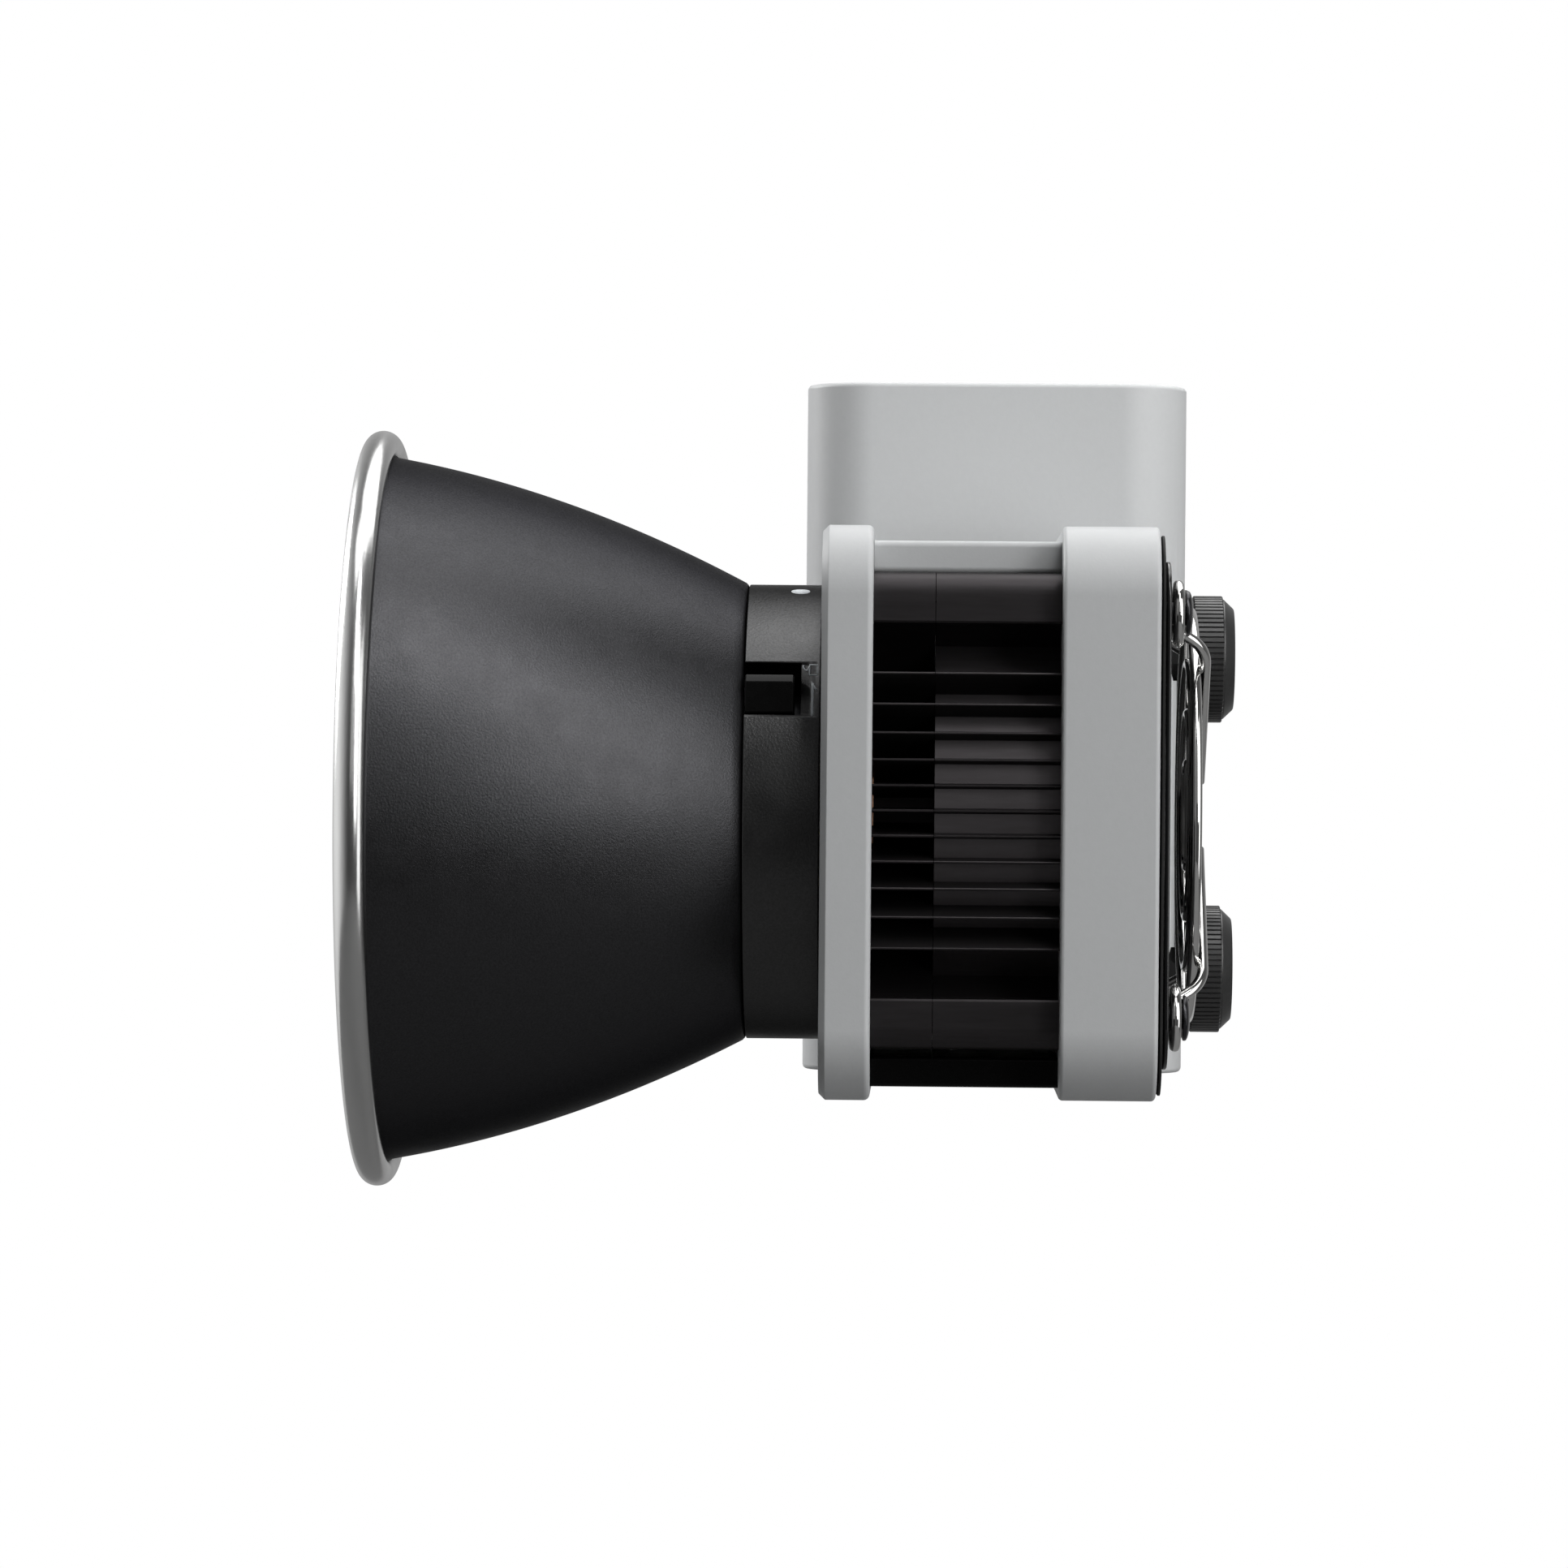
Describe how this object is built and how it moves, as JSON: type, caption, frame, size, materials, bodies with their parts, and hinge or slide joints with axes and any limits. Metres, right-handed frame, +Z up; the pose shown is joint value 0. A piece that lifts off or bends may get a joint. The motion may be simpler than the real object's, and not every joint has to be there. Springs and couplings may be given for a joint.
{
  "type": "cob led studio light",
  "caption": "Compact LED studio spotlight with a cast lamp head, radial-fin heat sink, fan guard, side controller block with knurled dials, and a twist-lock bowl reflector.",
  "frame": {"origin": "centre of the tripod socket's mouth, in the underside of the plate below the heat sink", "axes": "+Z up, the optical axis runs along Y with the light leaving towards -Y, the controller block is on the -X side"},
  "size_m": [0.1323, 0.1421, 0.1313],
  "materials": {
    "grey_shell": "satin light grey paint",
    "black_fins": "black anodised, satin",
    "black_mount": "black fine-textured coat",
    "reflector_skin": "black textured outside, bright rolled rim, silver inside",
    "collar_metal": "satin",
    "black_plastic": "matte moulded",
    "gloss_black": "gloss moulded",
    "chrome_wire": "bright plated wire",
    "screw_steel": "plated",
    "brass_bush": "plated steel",
    "copper_plate": "bare copper, satin",
    "phosphor": "yellow silicone over the diodes",
    "ceramic_white": "white solder mask on aluminium oxide",
    "clear_glass": "clear, polished",
    "display_glass": "dark, polished",
    "circuit_board": "solder mask",
    "rubber_gasket": "matte sheet"
  },
  "bodies": {
    "lamp": {"front_frame": "grey_shell", "rear_frame": "grey_shell", "top_plate": "grey_shell", "controller_case": "grey_shell", "controller_cover": "grey_shell", "front_backplate": "black_mount", "rear_gasket": "rubber_gasket", "fan_bezel": "gloss_black", "heat_sink_front": "black_fins", "heat_sink_rear": "black_fins", "bottom_plate": "black_fins", "tripod_bush": "brass_bush", "cob_base": "copper_plate", "cob_substrate": "ceramic_white", "cob_emitter": "phosphor", "cob_holder": "black_plastic", "window_glass": "clear_glass", "window_ring": "black_mount", "mount_ring": "black_mount", "fan_housing": "black_plastic", "fan_guard": "chrome_wire", "control_panel": "black_plastic", "control_board": "circuit_board", "display_window": "display_glass", "power_switch": "black_plastic", "driver_board": "circuit_board", "driver_coil": "black_plastic", "driver_heat_spreader": "collar_metal", "power_inlet": "black_plastic", "dial_encoder_1": "screw_steel", "dial_encoder_2": "screw_steel", "cob_screw_1": "screw_steel", "cob_screw_2": "screw_steel", "mount_screw_1": "screw_steel", "mount_screw_2": "screw_steel", "mount_screw_3": "screw_steel", "tie_screw_1": "screw_steel", "tie_screw_2": "screw_steel", "tie_screw_3": "screw_steel", "tie_screw_4": "screw_steel", "cover_screw_1": "screw_steel", "cover_screw_2": "screw_steel", "cover_screw_3": "screw_steel", "cover_screw_4": "screw_steel", "block_screw_1": "screw_steel", "block_screw_2": "screw_steel", "block_screw_3": "screw_steel", "block_screw_4": "screw_steel"},
    "reflector": {"reflector_bowl": "reflector_skin", "reflector_collar": "collar_metal", "reflector_rivet_1": "screw_steel", "reflector_rivet_2": "screw_steel", "reflector_rivet_3": "screw_steel"},
    "lock_lever": {"lock_lever": "gloss_black"},
    "fan_rotor": {"fan_rotor": "black_plastic"},
    "upper_dial": {"upper_dial": "black_plastic", "upper_dial_shaft": "screw_steel"},
    "lower_dial": {"lower_dial": "black_plastic", "lower_dial_shaft": "screw_steel"},
    "power_button": {"power_button": "black_plastic"}
  },
  "joints": [
    {"name": "reflector_twist", "type": "hinge", "parent": "lamp", "child": "reflector", "pos_m": [0, -0.033, 0.042], "axis": [0, 1, 0], "range_deg": [0, 35]},
    {"name": "lever_slide", "type": "hinge", "parent": "lamp", "child": "lock_lever", "pos_m": [0, -0.0305, 0.042], "axis": [0, -1, 0], "range_deg": [0, 3.2], "stiffness_Nm_per_rad": 0.3, "springref_deg": -2.86},
    {"name": "fan_spin", "type": "hinge", "parent": "lamp", "child": "fan_rotor", "pos_m": [0, 0.0239, 0.042], "axis": [0, 1, 0], "continuous": true},
    {"name": "upper_dial_turn", "type": "hinge", "parent": "lamp", "child": "upper_dial", "pos_m": [-0.0583, 0.0406, 0.068], "axis": [0, 1, 0], "continuous": true},
    {"name": "lower_dial_turn", "type": "hinge", "parent": "lamp", "child": "lower_dial", "pos_m": [-0.0583, 0.0406, 0.016], "axis": [0, 1, 0], "continuous": true},
    {"name": "power_button_push", "type": "slide", "parent": "lamp", "child": "power_button", "axis": [0, -1, 0], "range_m": [0, 0.0008], "stiffness_N_per_m": 400, "springref_m": -0.001}
  ]
}
